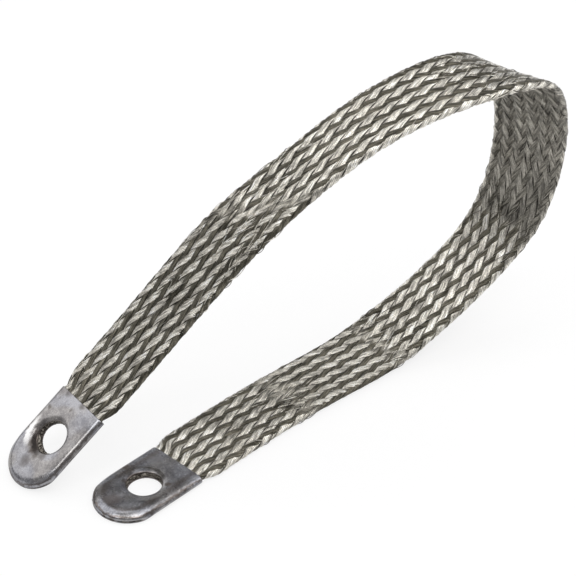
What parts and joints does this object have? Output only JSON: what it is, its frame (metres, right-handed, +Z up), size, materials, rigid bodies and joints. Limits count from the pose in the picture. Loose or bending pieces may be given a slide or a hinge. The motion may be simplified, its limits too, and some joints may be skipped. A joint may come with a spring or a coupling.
{
  "type": "flexible busbar braid",
  "caption": "Flexible grounding strap of flat tubular braid in tinned copper wire, with a pressed round-tipped sleeve terminal and bolt hole at each end.",
  "frame": {"origin": "on the underside of the right terminal, on its centreline between the bolt hole and the mouth, where it lies on the surface", "axes": "+X from the right terminal's tip to its mouth and out along the strap, +Z up from the surface that the part lies on"},
  "size_m": [0.1783, 0.0749, 0.1056],
  "materials": {
    "tinned_wire": "fine tin-plated copper wires laid side by side, satin, slightly warm grey",
    "tinned_sleeve": "tin-plated copper tube, smooth and glossy with pressing marks and stains"
  },
  "bodies": {
    "root": {"braid": "tinned_wire", "terminal_sleeve_left": "tinned_sleeve", "terminal_sleeve_right": "tinned_sleeve"}
  },
  "joints": []
}
